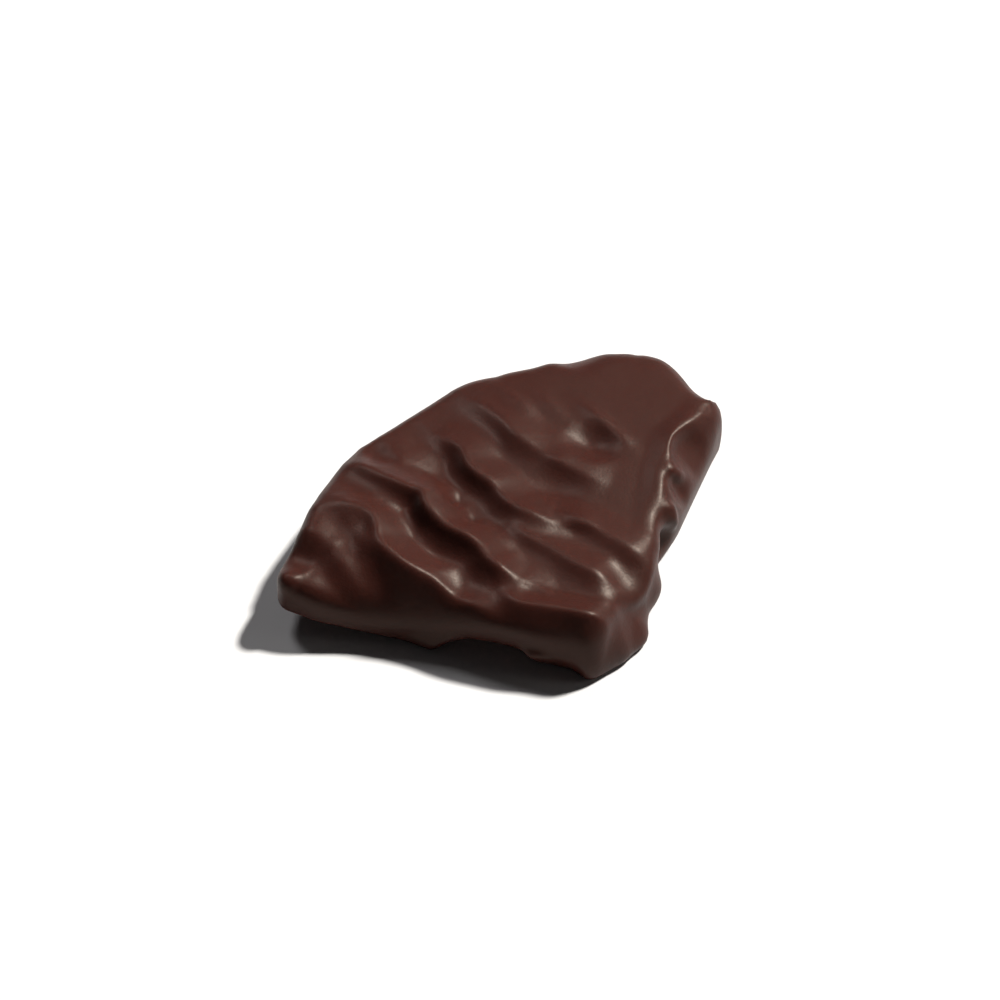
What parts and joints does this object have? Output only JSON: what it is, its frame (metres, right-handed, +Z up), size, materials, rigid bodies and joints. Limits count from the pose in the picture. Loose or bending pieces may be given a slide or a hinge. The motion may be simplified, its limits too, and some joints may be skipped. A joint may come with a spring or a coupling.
{
  "type": "chocolate-covered orange slice",
  "caption": "Quarter slice of orange in a dark chocolate coat, with leaning folds on its top, upright cut sides, a flat underside and its left corner lifted a little.",
  "frame": {"origin": "middle of the bounding box, on the flat underside", "axes": "+Z up out of the folded top; the tip of the quarter points towards -Y, the rind side lies towards +Y, and +X is to the right seen from the tip"},
  "size_m": [0.0438, 0.039, 0.009],
  "materials": {
    "dark_chocolate": null
  },
  "bodies": {
    "root": {"chocolate_slice": "dark_chocolate"}
  },
  "joints": []
}
